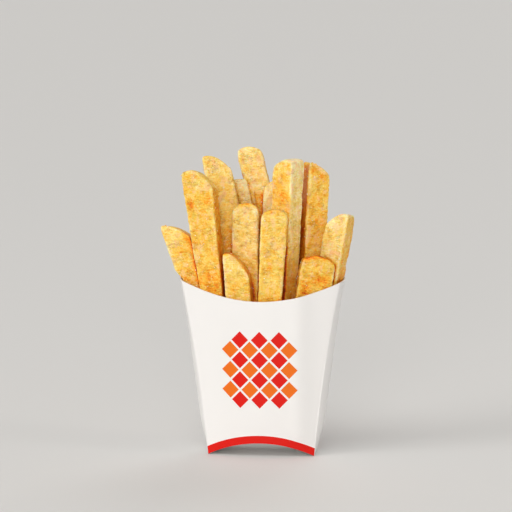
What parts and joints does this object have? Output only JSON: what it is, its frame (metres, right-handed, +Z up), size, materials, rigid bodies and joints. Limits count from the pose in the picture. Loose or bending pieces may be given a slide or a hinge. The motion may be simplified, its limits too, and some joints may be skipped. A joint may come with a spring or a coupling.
{
  "type": "portion of french fries in an open paperboard carton",
  "caption": "Upright paperboard scoop carton, open at the top with a hollowed front edge and an arched bottom, filled with thick-cut fries that fan out above the rim.",
  "frame": {"origin": "on the floor, under the middle of the whole part's box", "axes": "+Z up, front panel of the carton facing -Y, +X to the right seen from the front"},
  "size_m": [0.0922, 0.0432, 0.1462],
  "materials": {
    "coated_board": "white clay-coated paperboard with a low sheen and a printed band along the lower front edge",
    "fried_potato": "golden fried potato, dry and slightly rough, browner along the cut edges"
  },
  "bodies": {
    "root": {"carton": "coated_board", "fries": "fried_potato"}
  },
  "joints": []
}
